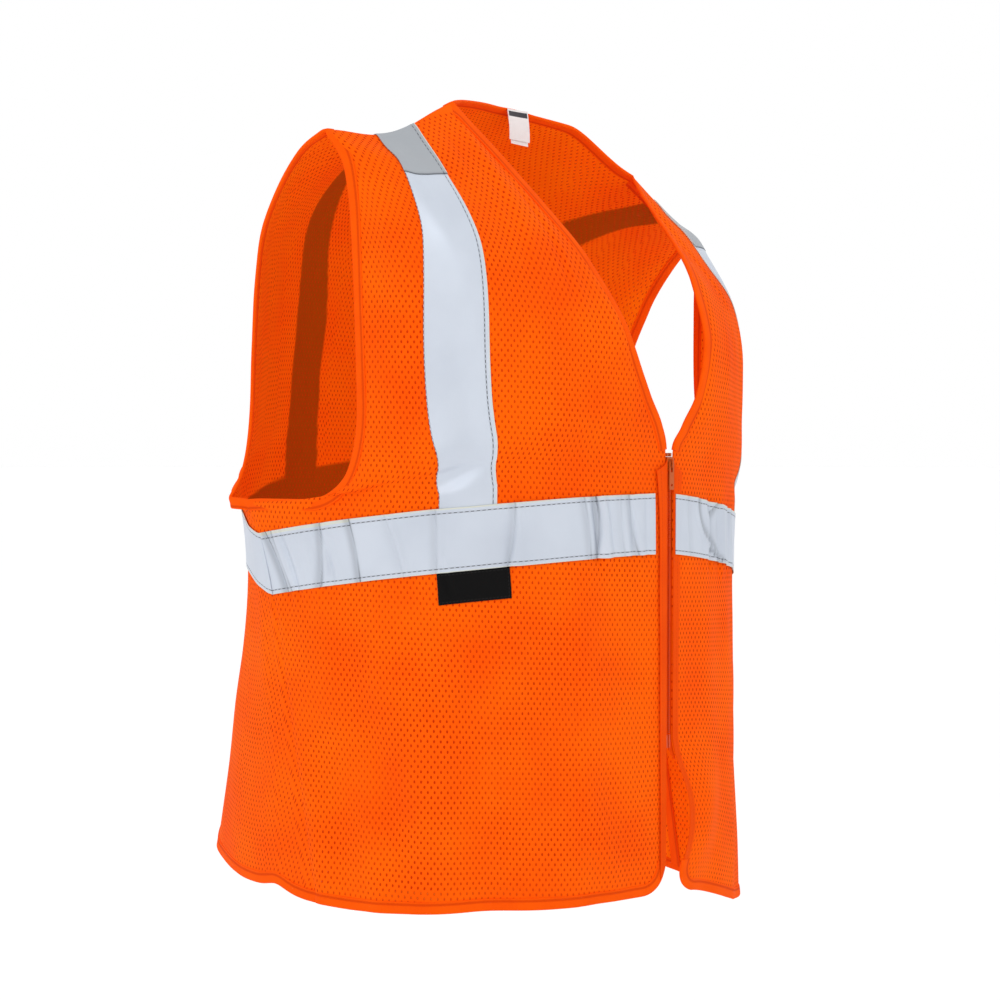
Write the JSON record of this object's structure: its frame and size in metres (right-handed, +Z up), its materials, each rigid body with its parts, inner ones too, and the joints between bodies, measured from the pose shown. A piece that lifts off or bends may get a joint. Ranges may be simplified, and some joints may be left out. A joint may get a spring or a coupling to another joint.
{
  "type": "high visibility vest",
  "caption": "Sleeveless V-necked high visibility vest with a zipped front, reflective waist tape and reflective brace tapes over the shoulders, hanging as if worn.",
  "frame": {"origin": "middle of the shoulder line, level with the wearer's right neck point, where the shoulders hold the vest up", "axes": "+Z up, the wearer faces -Y, +X to the wearer's left"},
  "size_m": [0.5112, 0.4746, 0.7352],
  "materials": {
    "orange_mesh": "knitted polyester mesh with small oval holes",
    "orange_trim": "woven polyester tape",
    "reflective_tape": "grey retroreflective, glass-bead coated",
    "zip_metal": "orange paint, semi-gloss",
    "zip_nylon": "moulded nylon",
    "black_patch": "woven, matt",
    "white_label": "printed satin"
  },
  "bodies": {
    "back": {"back_panel": "orange_mesh", "back_waist_tape": "reflective_tape", "back_neck_binding": "orange_trim", "back_hem_binding": "orange_trim", "right_back_armhole_binding": "orange_trim", "right_side_seam": "orange_trim", "right_shoulder_seam": "orange_trim", "left_back_armhole_binding": "orange_trim", "left_side_seam": "orange_trim", "left_shoulder_seam": "orange_trim", "size_label": "white_label", "care_label": "white_label", "right_back_brace_tape": "reflective_tape", "left_back_brace_tape": "reflective_tape"},
    "right_front": {"chest_patch": "black_patch", "right_front_panel": "orange_mesh", "right_front_waist_tape": "reflective_tape", "right_neck_binding": "orange_trim", "right_front_armhole_binding": "orange_trim", "right_front_hem_binding": "orange_trim", "right_front_facing": "orange_trim", "right_front_brace_tape": "reflective_tape", "right_zip_tape": "orange_trim", "right_zip_teeth": "zip_nylon", "right_top_stop": "zip_metal", "insertion_pin": "zip_nylon", "inside_pocket": "orange_mesh"},
    "left_front": {"left_front_panel": "orange_mesh", "left_front_waist_tape": "reflective_tape", "left_neck_binding": "orange_trim", "left_front_armhole_binding": "orange_trim", "left_front_hem_binding": "orange_trim", "left_front_facing": "orange_trim", "left_front_brace_tape": "reflective_tape", "left_zip_tape": "orange_trim", "left_zip_teeth": "zip_nylon", "left_top_stop": "zip_metal", "retainer_box": "zip_nylon", "fixed_pin": "zip_nylon"},
    "zip_slider": {"slider_body": "zip_metal"},
    "zip_pull": {"pull_tab": "zip_metal"}
  },
  "joints": [
    {"name": "zip_slide", "type": "slide", "parent": "left_front", "child": "zip_slider", "axis": [0, 0, -1], "range_m": [0, 0.21]},
    {"name": "pull_tab_hinge", "type": "hinge", "parent": "zip_slider", "child": "zip_pull", "pos_m": [0, -0.1562, -0.3044], "axis": [1, 0, 0], "range_deg": [-100, 0]},
    {"name": "right_front_swing", "type": "hinge", "parent": "back", "child": "right_front", "pos_m": [-0.252, 0.095, -0.35], "axis": [0, 0, -1], "range_deg": [0, 35]},
    {"name": "left_front_swing", "type": "hinge", "parent": "back", "child": "left_front", "pos_m": [0.252, 0.095, -0.35], "axis": [0, 0, 1], "range_deg": [0, 35]}
  ]
}
